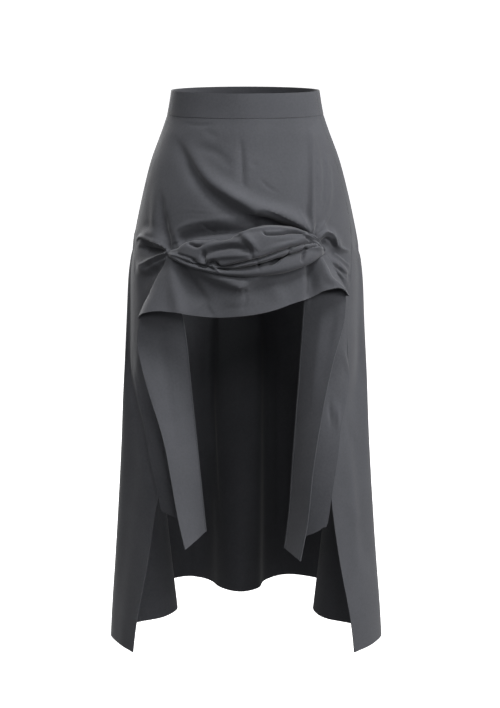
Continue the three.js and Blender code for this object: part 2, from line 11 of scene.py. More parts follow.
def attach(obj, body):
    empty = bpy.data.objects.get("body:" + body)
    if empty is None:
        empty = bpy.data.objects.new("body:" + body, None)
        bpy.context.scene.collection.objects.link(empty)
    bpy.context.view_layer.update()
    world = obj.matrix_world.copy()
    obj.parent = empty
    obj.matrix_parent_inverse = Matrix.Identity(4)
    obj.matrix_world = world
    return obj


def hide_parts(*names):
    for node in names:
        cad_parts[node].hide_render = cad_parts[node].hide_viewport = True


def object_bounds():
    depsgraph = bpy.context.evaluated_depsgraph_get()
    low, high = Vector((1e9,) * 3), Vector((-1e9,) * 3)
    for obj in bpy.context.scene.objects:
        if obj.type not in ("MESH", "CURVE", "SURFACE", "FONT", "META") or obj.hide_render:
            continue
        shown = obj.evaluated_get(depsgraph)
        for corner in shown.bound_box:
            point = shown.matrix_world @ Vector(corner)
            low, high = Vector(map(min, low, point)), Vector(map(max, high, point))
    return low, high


bl_info = {
    "name": "High-low skirt",
    "version": (1, 0, 0),
    "blender": (4, 5, 0),
    "location": "View3D > Sidebar > Skirt",
    "description": "Finishes the cut pieces of a draped skirt in cloth and sets up its studio",
    "category": "Object",
}

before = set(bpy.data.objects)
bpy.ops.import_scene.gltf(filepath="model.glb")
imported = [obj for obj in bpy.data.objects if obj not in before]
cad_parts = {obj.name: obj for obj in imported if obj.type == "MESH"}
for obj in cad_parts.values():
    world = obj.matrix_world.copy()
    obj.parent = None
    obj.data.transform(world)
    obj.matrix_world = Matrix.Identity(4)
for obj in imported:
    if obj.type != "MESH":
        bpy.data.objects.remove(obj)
CAD_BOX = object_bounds()

MM = 0.001

# Thickness of the walls in metres, and the levels in millimetres between which the gathers get a
# finer mesh
BAND_WALL = 2.4 * MM
CLOTH_WALL = 1.4 * MM
GATHERS = (-195, -292)

# Merging distance, and the sharpest bend that is still shaded smooth
MERGE = 0.01 * MM
SMOOTH_BEND = math.radians(50)

# Depth of the band under a wall's top whose faces tell which of its sides is the outside
RIM_BAND = 20 * MM

# Distance from a crease's path at which the cloth isn't moved any more, in its half widths
CREASE_REACH = 3

# Rings, in pixels, and turns, in degrees, that are searched round a point of the photo whose own
# line of sight misses the piece
SEARCH_RINGS = (0, 1, 2, 4, 6, 9)
SEARCH_TURNS = range(0, 360, 45)

# Figure inside the skirt, in millimetres: level, half width, depth to the front and to the back
FIGURE = np.array([
    (-940, 228, 194, 198), (-800, 220, 188, 196), (-705, 216, 184, 194), (-615, 212, 180, 192),
    (-525, 208, 176, 190), (-450, 204, 173, 187), (-380, 201, 170, 184), (-310, 199.5, 166, 180),
    (-240, 191.5, 159, 172), (-170, 179, 146, 158), (-135, 171.5, 137, 147), (-100, 162, 126, 134),
    (-66, 149.5, 114, 120), (-48, 142.5, 108, 112), (-22, 133.5, 99, 102), (20, 126, 92, 94),
])

# Camera of the photo: its place and aim in metres, the photo's size and focal length in pixels, and
# the sensor's height in millimetres
CAMERA = (0.008, -3.6, 0.252)
CAMERA_AIM = (0.008, 0, -0.441)
PHOTO_WIDTH = 500
PHOTO_HEIGHT = 708
PHOTO_FOCAL = 2087
SENSOR = 36

# Backdrop, in metres: radius, height and the bend between floor and wall
SWEEP_RADIUS = 9
SWEEP_HEIGHT = 14
SWEEP_BEND = 5

# Place that the lights are aimed at and distance of those in front of it, in metres
LIGHT_AIM = (0, 0, -0.4)
LIGHT_DISTANCE = 4


def around(turn, rise):
    """Place of a light, to the centimetre, by its turn from the front and its rise over the aim."""
    turn, rise = math.radians(turn), math.radians(rise)
    flat = LIGHT_DISTANCE * math.cos(rise)
    place = (flat * math.sin(turn), -flat * math.cos(turn), LIGHT_DISTANCE * math.sin(rise))
    return tuple(round(c + aim, 2) for c, aim in zip(place, LIGHT_AIM))


# Soft lights: name, place, side of the square in metres, power in watts
LIGHTS = [
    ("key light", around(48, 65), 0.9, 87),
    ("side light", around(75, 10), 0.9, 60),
    ("front light", around(38, 38), 0.9, 18),
    ("low front light", around(8, 28), 0.9, 16),
    ("left light", around(-60, 66), 0.9, 32),
    ("back light", (-1.6, 3.0, 0.9), 1.6, 90),
]

# Length of one band of a wave texture of scale 1, and the radius that the weave is measured round
WAVE_LENGTH = 0.314
GRAIN_RADIUS = 0.18

# Creases of each piece: name, height in millimetres (a trough where negative), half widths to the
# left and to the right of its path, sideways lean, shares of the height at start and end, and the
# path itself. The paths of the creases that show are pixels of the photo, read off it.
SEEN_CREASES = {
    "front_panel": [
        ("diagonal ridge", 4, 8, 9, 2, 0.1, 0.9,
         [(188, 147), (199, 166), (212, 182), (227, 192), (244, 202), (258, 210), (277, 218),
          (296, 228), (309, 233)]),
        ("dark side of the ridge", -3, 7, 12, 0, 0.2, 0.1,
         [(175, 140), (185, 156), (194, 172), (205, 187), (217, 197)]),
        ("easing of the ridge's foot", 2.5, 7, 7, 0, 0.2, 0.6,
         [(226, 203), (240, 208), (252, 212)]),
        ("dent above the ridge", -2.4, 8, 8, 0, 0.1, 0.1,
         [(196, 147), (215, 152), (233, 168)]),
        ("dash under the band", -1.3, 2.6, 2.6, 0, 0.2, 0.2,
         [(186, 124), (200, 126), (213, 124)]),
        ("soft dent under the band", -1.3, 6, 6, 0, 0.1, 0.1,
         [(203, 130), (219, 138)]),
        ("upright crease", -1.6, 2.4, 2.4, 0, 0.2, 0.8,
         [(240, 138), (242, 160), (243, 184)]),
        ("upright crease's lip", 0.8, 4, 3, 0, 0.2, 0.6,
         [(245, 142), (247, 162), (248, 184)]),
        ("small diagonal", -1.4, 3, 3, 0, 0.2, 0.2,
         [(261, 180), (268, 187), (276, 192)]),
        ("small dent", -1, 5, 5, 0, 0.2, 0.2,
         [(250, 163), (258, 166)]),
        ("deep hollow over the swag", -16, 9, 12, 0, 0.1, 0.6,
         [(228, 226), (250, 222), (264, 220), (280, 225), (296, 231), (306, 234)]),
        ("lip over the hollow", 4, 7, 3, 3, 0.1, 0.9,
         [(240, 214), (252, 211), (263, 207), (278, 212), (296, 221), (309, 230)]),
        ("hollow behind the swag", -13, 9, 12, 0, 0.5, 0.8,
         [(180, 240), (195, 234), (212, 231), (236, 230), (256, 226)]),
        ("fold line above it", 1.6, 5, 3, 0, 0.1, 0.3,
         [(173, 238), (178, 229), (194, 223), (214, 220), (240, 216)]),
        ("dark blob", -3, 3, 3, 0, 0.3, 0.1,
         [(202, 225), (208, 229), (215, 232)]),
        ("upright edge by the left pinch", -1.5, 3, 4, 0, 0, 1,
         [(165, 216), (168, 232), (170, 242), (170, 250)]),
        ("easing of the left upright", 2.5, 7, 7, 0, 0.2, 0,
         [(164, 190), (166, 206), (168, 224)]),
        ("light patch by the left pinch", 3.5, 6, 5, 0, 0.5, 0.5,
         [(176, 236), (178, 243), (180, 249)]),
        ("upper faint line", 0.7, 1.8, 1.8, 0, 0.1, 0.1,
         [(166, 208), (200, 211), (240, 213)]),
        ("lower faint line", 0.7, 1.8, 1.8, 0, 0.1, 0.1,
         [(164, 213), (200, 216), (236, 217)]),
        ("right upright ridge", 5, 5, 5, 0, 0.2, 0.9,
         [(311, 132), (312, 170), (312, 205), (312, 228)]),
        ("right outer line", 2.8, 3, 3, 0, 0.1, 0.4,
         [(326, 152), (327, 175), (325, 200), (318, 226)]),
        ("streak to the right pinch", 1.6, 2.4, 2.4, 0, 0, 1,
         [(299, 208), (304, 220), (310, 231)]),
        ("second streak", -1.6, 2.4, 2.4, 0, 0, 1,
         [(305, 200), (308, 216), (311, 230)]),
        ("third streak", 1.8, 2.6, 2.6, 0, 0, 1,
         [(335, 206), (326, 220), (316, 233)]),
        ("fourth streak", -1.6, 2.6, 2.6, 0, 0, 1,
         [(330, 196), (321, 216), (314, 231)]),
        ("left pucker's crest", 4, 2, 4, 0, 0.9, 0.4,
         [(168, 251), (160, 245), (151, 240), (141, 237), (137, 240)]),
        ("left pucker's hollow", -5, 4, 4, 0, 0.8, 0.3,
         [(163, 251), (154, 249), (146, 248), (140, 247)]),
        ("left pucker's second crest", 3.5, 2, 3, 0, 1, 0.3,
         [(168, 253), (160, 255), (150, 260), (139, 265)]),
        ("left pucker's second hollow", -3.5, 3, 4, 0, 0.8, 0.3,
         [(164, 257), (155, 262), (144, 268)]),
        ("left pucker's small line", 2, 2, 2, 0, 0.3, 0.2,
         [(139, 243), (144, 247), (149, 251)]),
        ("right loop's crest", 5, 2.6, 2.4, 0, 0.6, 0.6,
         [(317, 240), (321, 235), (326, 232), (331, 234), (335, 240), (336, 245)]),
        ("right loop's hollow", -5, 3.4, 3.4, 0, 0.5, 0.4,
         [(321, 243), (326, 239), (331, 241), (334, 246)]),
        ("right side bump", 3, 3.5, 3, 0, 0.4, 0.2,
         [(338, 247), (344, 250), (349, 251)]),
        ("right low crest", 3, 3, 3, 0, 0.6, 0.3,
         [(334, 254), (341, 260), (349, 266)]),
        ("right low hollow", -4, 3, 3, 0, 0.8, 0.3,
         [(334, 264), (341, 270), (349, 276)]),
        ("hollow behind the left cascade", -8, 13, 18, 0, 0.5, 0.2,
         [(149, 355), (159, 395), (169, 435), (178, 475), (184, 505)]),
        ("pale edge of the left portion", 1.2, 2, 3, 0, 0.5, 0.2,
         [(134, 372), (138, 388), (144, 412), (150, 440), (155, 470)]),
        ("right portion's elbow", 3, 5, 7, 0, 0.3, 0.3,
         [(343, 352), (348, 372), (350, 384)]),
        ("crease by the right elbow", -2.5, 2.5, 3, 0, 0.3, 0.5,
         [(329, 396), (336, 400), (344, 399)]),
        ("notch of the right portion", -3.5, 3.5, 3.5, 0, 0.2, 0.7,
         [(326, 404), (330, 410), (331, 420)]),
        ("light spot by the notch", 3, 4, 4, 0, 0.4, 0.4,
         [(336, 408), (338, 416), (338, 424)]),
        ("right lowest crest", 2.5, 3, 3, 0, 0.5, 0.3,
         [(338, 272), (344, 279), (349, 286)]),
    ],
    "front_swag": [
        ("top lip", 3.4, 4, 2.5, 0, 0, 0.6,
         [(200, 246), (208, 242), (225, 240), (240, 236), (250, 231), (262, 229), (280, 228),
          (298, 231)]),
        ("slit under the lip", -9, 2.4, 2.4, 0, 0.1, 1,
         [(262, 231), (267, 234), (280, 233), (292, 232), (304, 233)]),
        ("pocket at the left", -7, 3, 3, 0, 0.6, 0.3,
         [(189, 243), (196, 246), (203, 244)]),
        ("bright bulge", 7, 8, 5, 0, 0.4, 0.4,
         [(242, 235), (249, 241), (254, 247)]),
        ("crease beside the bulge", -3, 2.5, 3.5, 0, 0.2, 0.6,
         [(243, 242), (250, 249), (252, 257)]),
        ("valley of the main fold", -8, 6, 6, 0, 0.5, 0.3,
         [(204, 255), (214, 250), (230, 247), (244, 249), (250, 253)]),
        ("dark line under the main roll", -10, 2.4, 2, 0, 0.6, 0.7,
         [(192, 260), (203, 266), (213, 264), (222, 268), (240, 264), (262, 258), (290, 248),
          (312, 242)]),
        ("upper band of the main fold", 3, 5, 4, 0, 0.3, 0.3,
         [(206, 246), (222, 243), (238, 241)]),
        ("lower band of the main fold", 3, 5, 3, 0, 0.3, 0.3,
         [(208, 259), (222, 257), (240, 256), (256, 255)]),
        ("cave at the left", -6, 4, 4, 0, 0.4, 0.6,
         [(203, 252), (203, 258), (205, 263)]),
        ("left fine line", -2.5, 2, 2, 0, 1, 0.2,
         [(178, 254), (188, 257), (198, 261)]),
        ("right face crease", -1.8, 2.5, 2.5, 0, 0.2, 0.2,
         [(272, 243), (286, 241), (300, 240)]),
        ("right face ridge", 2, 4, 3, 0, 0.2, 0.6,
         [(262, 251), (280, 246), (300, 240), (312, 238)]),
        ("dent of the lower roll", -3.5, 2.6, 2.6, 0, 0.8, 0.2,
         [(257, 261), (259, 265), (259, 270)]),
        ("diagonal of the lower roll", -6, 2.4, 5, 0, 0.8, 0.2,
         [(291, 250), (284, 257), (274, 262), (268, 265)]),
        ("bright fold of the lower roll", 3, 3, 3, 0, 0.4, 0.4,
         [(279, 262), (286, 257), (296, 254)]),
        ("notch of the lower roll", 3, 2, 2, 0, 0.5, 0.5,
         [(213, 264), (216, 269), (220, 273)]),
        ("notch's dent", -3, 2, 2, 0, 0.5, 0.3,
         [(217, 264), (221, 269), (228, 270)]),
        ("right cap", 5, 6, 4, 0, 0.3, 0.3,
         [(306, 250), (315, 248), (322, 249)]),
        ("notch's lift", 0, 4, 4, -5, 0.3, 0.3,
         [(208, 263), (213, 262), (218, 264)]),
        ("first thin edge", 3.6, 1.8, 1.6, 0, 1, 0.6,
         [(303, 234), (312, 239), (320, 244), (325, 250)]),
        ("dark line under it", -5, 1.6, 1.6, 0, 1, 0.6,
         [(306, 238), (314, 242), (320, 247)]),
        ("second thin edge", 2.2, 1.6, 1.6, 0, 1, 0.6,
         [(309, 234), (318, 240), (325, 246)]),
        ("dent before the cap", -6, 3.5, 3, 0, 0.4, 0.6,
         [(306, 246), (303, 253), (302, 260)]),
    ],
    "front_flounce": [
        ("flap's body", 9, 11, 11, 0, 0.2, 0.4,
         [(198, 266), (220, 277), (241, 280), (262, 273)]),
        ("flap under the swag, left", 6, 12, 3.2, 0, 0, 0.9,
         [(176, 258), (192, 268), (210, 278), (228, 285), (241, 289)]),
        ("flap under the swag, right", 5, 3.5, 12, 0, 0.1, 0.9,
         [(266, 274), (258, 278), (250, 284), (242, 289)]),
        ("left cone's crest", 6, 13, 11, 0, 0.2, 0.8,
         [(171, 261), (173, 276), (175, 292), (178, 312)]),
        ("left cone's dark side", -11, 8, 22, 0, 0.3, 0.2,
         [(180, 262), (188, 275), (197, 289), (206, 302)]),
        ("left strip's outer edge", 0, 24, 12, -7, 0.4, 0.3,
         [(141, 338), (146, 362), (151, 385), (156, 405), (162, 430)]),
        ("middle swell", 6, 22, 22, 0, 0.2, 0.4,
         [(232, 284), (236, 296), (238, 308)]),
        ("small crease", -1.5, 2.5, 2.5, 0, 0.2, 0.3,
         [(244, 292), (246, 300), (243, 309)]),
        ("right valley", -13, 16, 6, 0, 0.4, 0.4,
         [(307, 256), (309, 270), (310, 284), (309, 297)]),
        ("right cone's crest", 6, 5, 7, 0, 0.3, 0.5,
         [(320, 256), (325, 268), (331, 280), (337, 289)]),
        ("left strip's soft swell", 1.6, 10, 10, 0, 0.3, 0.6,
         [(160, 330), (166, 380), (176, 440)]),
        ("left strip's dent", -1.2, 5, 5, 0, 0.3, 0.3,
         [(150, 372), (158, 404), (160, 425)]),
        ("right strip's crease", -2, 3.5, 4.5, 0, 0.5, 0.3,
         [(330, 326), (337, 333), (342, 342)]),
        ("right strip's fold", -2.5, 7, 7, 0, 0.4, 0.3,
         [(322, 318), (318, 352), (312, 400)]),
        ("right strip's ridge", 2.2, 6, 8, 0, 0.3, 0.5,
         [(333, 312), (329, 345), (322, 384)]),
        ("soft light swell", 3, 14, 12, 0, 0.1, 0.3,
         [(270, 282), (276, 292), (282, 304)]),
    ],
    "back_panel": [
        ("left wing's shade", -6, 16, 6, 0, 0.3, 0.5,
         [(134, 392), (141, 430), (148, 470), (155, 505)]),
        ("left wing's edge", 2.5, 4, 6, 0, 0.4, 0.4,
         [(156, 520), (153, 550), (148, 585)]),
        ("right wing's first crease", -1.6, 3, 3, 0, 0.3, 0.2,
         [(346, 424), (350, 434), (356, 443)]),
        ("right wing's lip", 1.2, 3, 3, 0, 0.3, 0.2,
         [(350, 421), (355, 431), (360, 439)]),
        ("right wing's long crease", -2, 3.5, 3.5, 0, 0.3, 0.2,
         [(340, 513), (352, 522), (364, 530)]),
        ("right wing's long lip", 1.6, 4, 4, 0, 0.2, 0.2,
         [(343, 508), (354, 516), (366, 524)]),
        ("right wing's swell", 3, 14, 14, 0, 0.3, 0.3,
         [(348, 450), (352, 500), (356, 560)]),
    ],
}

# Creases of the hidden back, alike but for the paths: angles in degrees from the middle of the
# front and levels in millimetres
HIDDEN_CREASES = {
    "back_panel": [
        ("left hip drape", -3, 16, 20, 0, 0.1, 0.7,
         [(-151, -60), (-147, -160), (-142, -300), (-138, -470)]),
        ("left hip swell", 2.5, 20, 16, 0, 0.2, 0.5,
         [(-158, -90), (-156, -230), (-154, -420)]),
        ("middle drape", -2.5, 14, 18, 0, 0.1, 0.6,
         [(186, -110), (183, -240), (180, -390)]),
        ("right hip drape", -3.5, 18, 14, 0, 0.1, 0.8,
         [(152, -70), (149, -190), (145, -340), (144, -440)]),
        ("right hip swell", 3, 15, 18, 0, 0.2, 0.4,
         [(163, -60), (162, -180), (160, -330)]),
        ("drag from the left seam", -1.6, 5, 6, 0, 0.8, 0.1,
         [(-84, -246), (-97, -262), (-112, -270)]),
        ("second drag from the left seam", 1.3, 5, 5, 0, 0.7, 0.1,
         [(-82, -226), (-95, -236), (-106, -240)]),
        ("drag from the right seam", -1.8, 5, 6, 0, 0.9, 0.1,
         [(77, -240), (92, -259), (110, -272)]),
        ("second drag from the right seam", 1.4, 5, 5, 0, 0.7, 0.1,
         [(79, -262), (95, -284), (108, -299)]),
        ("crease under the band, left", -1.1, 4, 5, 0, 0.7, 0.1,
         [(-128, -27), (-131, -66), (-132, -98)]),
        ("crease under the band, middle", 1.1, 5, 4, 0, 0.7, 0.1,
         [(170, -27), (169, -70), (171, -120)]),
        ("crease under the band, right", -1.1, 4, 5, 0, 0.7, 0.1,
         [(118, -27), (121, -58), (122, -86)]),
        ("knee crease, left", -1.7, 4, 4, 0, 0.2, 0.2,
         [(-150, -560), (-143, -578), (-135, -584)]),
        ("knee crease, right", -1.9, 4, 5, 0, 0.2, 0.2,
         [(161, -610), (153, -634), (142, -640)]),
        ("knee crease, middle", 1.6, 5, 4, 0, 0.2, 0.2,
         [(192, -505), (186, -520), (178, -524)]),
        ("left side fold", 3, 12, 9, 0, 0.1, 0.7,
         [(-97, -330), (-101, -450), (-103, -620), (-104, -780)]),
        ("right side fold", -3, 11, 13, 0, 0.1, 0.7,
         [(98, -300), (101, -430), (104, -600), (106, -740)]),
        ("hem crease, left", -1.8, 6, 6, 0, 0.1, 0.8,
         [(-159, -800), (-160, -860), (-161, -915)]),
        ("hem crease, right", -1.8, 6, 6, 0, 0.1, 0.8,
         [(150, -770), (151, -850), (152, -915)]),
        ("inside fold, left", 4, 8, 10, 0, 0.3, 0.4,
         [(-163, -420), (-164, -600), (-166, -800)]),
        ("inside fold, right", 3.5, 9, 8, 0, 0.3, 0.4,
         [(165, -460), (166, -640), (167, -820)]),
    ],
}


class SkirtSizes(bpy.types.PropertyGroup):
    """Sizes of the finish"""

    levels: IntProperty(
        name="Smoothing",
        description="Steps of subdivision on each cloth piece",
        default=2, min=1, max=3)
    crease: FloatProperty(
        name="Crease depth",
        description="Share of the creases' own depth",
        default=1.0, min=0, max=2, subtype="FACTOR")
    thread: FloatProperty(
        name="Thread pitch",
        description="Distance between two threads of the weave",
        default=0.0009, unit="LENGTH")
    floor_drop: FloatProperty(
        name="Floor drop",
        description="Height of the hem above the studio floor",
        default=0.3, unit="LENGTH")


class SkirtColours(bpy.types.PropertyGroup):
    """Colours of the cloth and the studio"""

    cloth: FloatVectorProperty(
        name="Cloth",
        description="Colour of the charcoal cloth",
        subtype="COLOR", default=(0.1, 0.103, 0.116))
    slub: FloatVectorProperty(
        name="Slub",
        description="Colour of its darker threads",
        subtype="COLOR", default=(0.075, 0.077, 0.087))
    studio: FloatVectorProperty(
        name="Studio",
        description="Colour of floor and backdrop",
        subtype="COLOR", default=(0.9, 0.9, 0.9))


def figure_at(z, back):
    """Half width and depth of the figure at a level, all in metres."""
    level = z / MM
    half = np.interp(level, FIGURE[:, 0], FIGURE[:, 1])
    depth = np.interp(level, FIGURE[:, 0], FIGURE[:, 3 if back else 2])
    return half * MM, depth * MM


def deselect():
    """Leave edit mode and select nothing."""
    if bpy.context.object and bpy.context.object.mode != "OBJECT":
        bpy.ops.object.mode_set(mode="OBJECT")
    bpy.ops.object.select_all(action="DESELECT")


def copy_of(node, name):
    """A merged copy of a CAD node, with its triangles paired to quads."""
    deselect()
    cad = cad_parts[node]
    cad.select_set(True)
    bpy.context.view_layer.objects.active = cad
    bpy.ops.object.duplicate()
    sheet = bpy.context.view_layer.objects.active
    sheet.name = name
    sheet.data.name = name
    bpy.ops.object.mode_set(mode="EDIT")
    bpy.ops.mesh.select_all(action="SELECT")
    bpy.ops.mesh.remove_doubles(threshold=MERGE)
    bpy.ops.mesh.customdata_custom_splitnormals_clear()
    bpy.ops.mesh.tris_convert_to_quads(face_threshold=1.2, shape_threshold=1.2)
    bpy.ops.object.mode_set(mode="OBJECT")
    return sheet


def sides_of(mesh, rims):
    """The stretches of faces that the rims part from each other, each in the mesh's own order."""
    left = {face for face in mesh.faces if face not in rims}
    shells = []
    while left:
        todo = [left.pop()]
        shell = set()
        while todo:
            face = todo.pop()
            shell.add(face)
            for edge in face.edges:
                for other in edge.link_faces:
                    if other in left:
                        left.discard(other)
                        todo.append(other)
        shells.append(sorted(shell, key=lambda face: face.index))
    return shells


def mark_rims(sheet, thickness):
    """Crease the cut edges of a wall, and keep the way out of the cloth at each point."""
    mesh = bmesh.new()
    mesh.from_mesh(sheet.data)
    crease = mesh.edges.layers.float.new("crease_edge")
    out = mesh.verts.layers.float_vector.new("out")
    across = {edge for edge in mesh.edges if abs(edge.calc_length() - thickness) < MERGE}
    rims = {face for face in mesh.faces if any(edge in across for edge in face.edges)}
    cuts = {}
    for edge in mesh.edges:
        if sum(face in rims for face in edge.link_faces) == 1:
            edge[crease] = 1
            for vert in edge.verts:
                cuts.setdefault(vert, []).append(edge)
    for edge in across:
        runs = cuts.get(edge.verts[0], [])
        if len(runs) == 2:
            ways = [(run.other_vert(edge.verts[0]).co - edge.verts[0].co).normalized() for run in runs]
            if ways[0].dot(ways[1]) > -math.cos(SMOOTH_BEND):
                edge[crease] = 1
    shells = sides_of(mesh, rims)
    if len(shells) != 2:
        raise RuntimeError(f"{sheet.name} has {len(shells)} sides instead of two")
    top = max(vert.co.z for vert in mesh.verts) - RIM_BAND
    for shell in shells:
        lean = 0
        for face in shell:
            middle = face.calc_center_median()
            if middle.z > top:
                lean += face.calc_area() * face.normal.dot(Vector((middle.x, middle.y, 0)))
        way = 1 if lean > 0 else -1
        sums = {}
        for face in shell:
            for vert in face.verts:
                sums[vert] = sums.get(vert, Vector()) + face.normal * face.calc_area()
        for vert, total in sums.items():
            vert[out] = total.normalized() * way
    mesh.to_mesh(sheet.data)
    mesh.free()


def places(data):
    """The points of a mesh, a row for each."""
    flat = np.empty(len(data.vertices) * 3)
    data.vertices.foreach_get("co", flat)
    return flat.reshape(-1, 3)


def smooth(sheet, levels):
    """Subdivide a sheet so that its smooth surface still runs through the CAD's own points."""
    modifier = sheet.modifiers.new("smooth", "SUBSURF")
    modifier.levels = modifier.render_levels = levels
    modifier.use_limit_surface = True
    cage = places(sheet.data)
    goal = cage.copy()
    for _ in range(3):
        shaped = sheet.evaluated_get(bpy.context.evaluated_depsgraph_get())
        reached = places(shaped.data)[: len(goal)]
        cage += goal - reached
        sheet.data.vertices.foreach_set("co", cage.ravel())
        sheet.data.update()
        bpy.context.view_layer.update()
    shaped = sheet.evaluated_get(bpy.context.evaluated_depsgraph_get())
    miss = np.abs(places(shaped.data)[: len(goal)] - goal).max()
    print(sheet.name, "misses its points by", round(miss / MM, 3), "mm")
    deselect()
    sheet.select_set(True)
    bpy.context.view_layer.objects.active = sheet
    bpy.ops.object.modifier_apply(modifier=modifier.name)


def laid(tree, angle, level):
    """Point of a sheet that is met from outside at an angle and level."""
    turn = math.radians(angle)
    half, depth = figure_at(level * MM, math.cos(turn) < 0)
    place = Vector((half * math.sin(turn), -depth * math.cos(turn), 0))
    way = place.normalized()
    hit = tree.ray_cast(way + Vector((0, 0, level * MM)), -way)[0]
    return hit if hit is not None else place + Vector((0, 0, level * MM))


def sight(x, y):
    """Directions of the photo's camera: straight ahead, and through one of its pixels."""
    ahead = (Vector(CAMERA_AIM) - Vector(CAMERA)).normalized()
    right = ahead.cross(Vector((0, 0, 1))).normalized()
    up = right.cross(ahead)
    across, down = (x - PHOTO_WIDTH / 2) / PHOTO_FOCAL, (y - PHOTO_HEIGHT / 2) / PHOTO_FOCAL
    return ahead, (ahead + right * across - up * down).normalized()


def sighted(tree, x, y):
    """Place at a pixel of the photo, as far off as the wall that is met there or nearest to it."""
    ahead, way = sight(x, y)
    for ring in SEARCH_RINGS:
        for turn in map(math.radians, SEARCH_TURNS):
            near = sight(x + ring * math.cos(turn), y + ring * math.sin(turn))[1]
            hit = tree.ray_cast(Vector(CAMERA), near)[0]
            if hit is not None:
                return Vector(CAMERA) + way * ((hit - Vector(CAMERA)).dot(ahead) / way.dot(ahead))
    raise ValueError(f"no wall near pixel {x}, {y}")


def traced(node, path):
    """Angles and levels of a path of the photo's pixels, on the walls of a CAD node."""
    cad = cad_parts[node].data
    corners = [vertex.co.copy() for vertex in cad.vertices]
    tree = BVHTree.FromPolygons(corners, [list(face.vertices) for face in cad.polygons])
    points = []
    for place in (sighted(tree, x, y) for x, y in path):
        half, depth = figure_at(place.z, place.y >= 0)
        angle = math.degrees(math.atan2(place.x / half, -place.y / depth))
        points.append((round(angle, 1), round(place.z / MM)))
    return points


def creases_of(node):
    """Creases of a piece, with every path in angles and levels."""
    seen = [(*form, traced(node, path)) for *form, path in SEEN_CREASES.get(node, [])]
    return seen + HIDDEN_CREASES.get(node, [])


def refine(sheet, top, foot):
    """Divide the cells of the gathered part once more, between two levels on the front."""
    deselect()
    sheet.select_set(True)
    bpy.context.view_layer.objects.active = sheet
    bpy.ops.object.mode_set(mode="EDIT")
    bpy.ops.mesh.select_mode(type="FACE")
    bpy.ops.mesh.select_all(action="DESELECT")
    bpy.ops.object.mode_set(mode="OBJECT")
    for face in sheet.data.polygons:
        middle = face.center
        face.select = foot * MM < middle.z < top * MM and middle.y < 0
    bpy.ops.object.mode_set(mode="EDIT")
    bpy.ops.mesh.subdivide(number_cuts=1, smoothness=0)
    bpy.ops.object.mode_set(mode="OBJECT")


def press_creases(sheet, creases, share):
    """Move the cloth along each crease, both of its faces together."""
    points = places(sheet.data)
    out = np.empty(len(points) * 3)
    sheet.data.attributes["out"].data.foreach_get("vector", out)
    out = out.reshape(-1, 3)
    out /= np.maximum(np.linalg.norm(out, axis=1), 1e-9)[:, None]
    faces = [list(face.vertices) for face in sheet.data.polygons]
    tree = BVHTree.FromPolygons([Vector(p) for p in points], faces)
    moved = points.copy()
    for name, height, left, right, lean, start, end, path in creases:
        line = rounded(np.array([laid(tree, angle, level) for angle, level in path]))
        reach = CREASE_REACH * max(left, right) * MM
        near = np.all((points > line.min(0) - reach) & (points < line.max(0) + reach), axis=1)
        here, way_out = points[near], out[near]
        best = np.full(len(here), np.inf)
        along = np.zeros(len(here))
        hand = np.zeros(len(here))
        sideways = np.zeros((len(here), 3))
        steps = len(line) - 1
        for n in range(steps):
            run = line[n + 1] - line[n]
            t = np.clip(((here - line[n]) @ run) / (run @ run), 0, 1)
            away = here - (line[n] + t[:, None] * run)
            far = np.linalg.norm(away, axis=1)
            nearer = far < best
            best = np.where(nearer, far, best)
            along = np.where(nearer, (n + t) / steps, along)
            across = np.cross(run / np.linalg.norm(run), way_out)
            hand = np.where(nearer, np.sum(across * away, axis=1), hand)
            sideways[nearer] = across[nearer]
        swell = start * (1 - along) ** 2 + 3 * along * (1 - along) + end * along ** 2
        wide = np.where(hand > 0, right, left) * MM
        bell = np.exp(-((best / wide) ** 2)) * swell * share * MM
        moved[near] += way_out * (bell * height)[:, None] + sideways * (bell * lean)[:, None]
    sheet.data.vertices.foreach_set("co", moved.ravel())
    sheet.data.update()


def rounded(path, steps=6):
    """A path with soft corners through the same points."""
    if len(path) < 3:
        return np.array([path[0] + (path[-1] - path[0]) * n / 3 for n in range(4)])
    ends = [2 * path[0] - path[1], *path, 2 * path[-1] - path[-2]]
    line = []
    for n in range(len(path) - 1):
        a, b, c, d = ends[n: n + 4]
        for m in range(steps):
            t = m / steps
            line.append(0.5 * (2 * b + (c - a) * t + (2 * a - 5 * b + 4 * c - d) * t * t
                               + (3 * b - a - 3 * c + d) * t ** 3))
    line.append(path[-1])
    return np.array(line)


def grain(sheet):
    """Lay the weave's own measure on a sheet: metres round the figure and metres down."""
    points = places(sheet.data)
    half, depth = figure_at(points[:, 2], False)
    turn = np.arctan2(points[:, 0] / half, -points[:, 1] / depth)
    layer = sheet.data.attributes.new("grain", "FLOAT_VECTOR", "POINT")
    flat = np.stack([turn * GRAIN_RADIUS, points[:, 2], np.zeros(len(points))], axis=1)
    layer.data.foreach_set("vector", flat.ravel())


